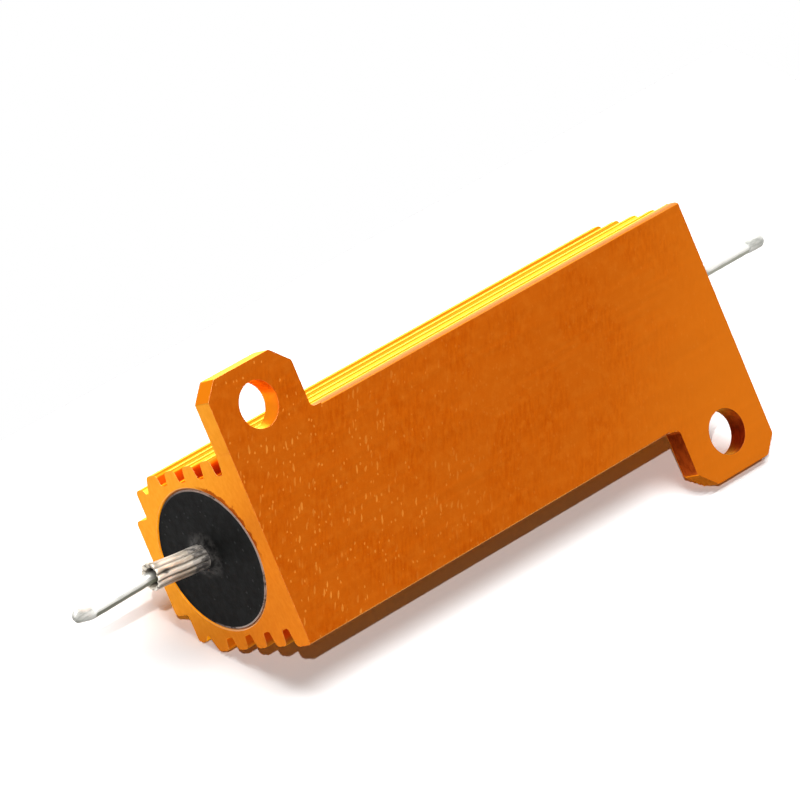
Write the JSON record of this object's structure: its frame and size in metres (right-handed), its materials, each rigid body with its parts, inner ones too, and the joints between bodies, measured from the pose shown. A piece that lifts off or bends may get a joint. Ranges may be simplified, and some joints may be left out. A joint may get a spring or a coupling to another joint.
{
  "type": "aluminium housed power resistor",
  "caption": "Wirewound power resistor in a finned aluminium housing with a flat base, drilled ears on opposite corners, and an axial lead at each end.",
  "frame": {"origin": "centre of the mounting face, midway between the mounting holes", "axes": "+X along the housing from the left lead to the right lead, +Z from the mounting face to the finned top, +Y to the side of the right-hand ear"},
  "size_m": [0.0763, 0.0272, 0.0149],
  "materials": {
    "anodised": "satin orange anodised aluminium",
    "potting": "matt black potting",
    "compound": "moulded insulating compound",
    "ceramic": "unglazed ceramic",
    "wire": "resistance wire",
    "steel": "pressed steel",
    "sleeve": "tinned metal, a little dull",
    "tinned": "tinned wire"
  },
  "bodies": {
    "root": {"housing": "anodised", "left_seal": "potting", "right_seal": "potting", "filler": "compound", "ceramic_core": "ceramic", "winding": "wire", "left_cap": "steel", "right_cap": "steel", "left_terminal": "sleeve", "right_terminal": "sleeve", "left_lead": "tinned", "right_lead": "tinned"}
  },
  "joints": []
}
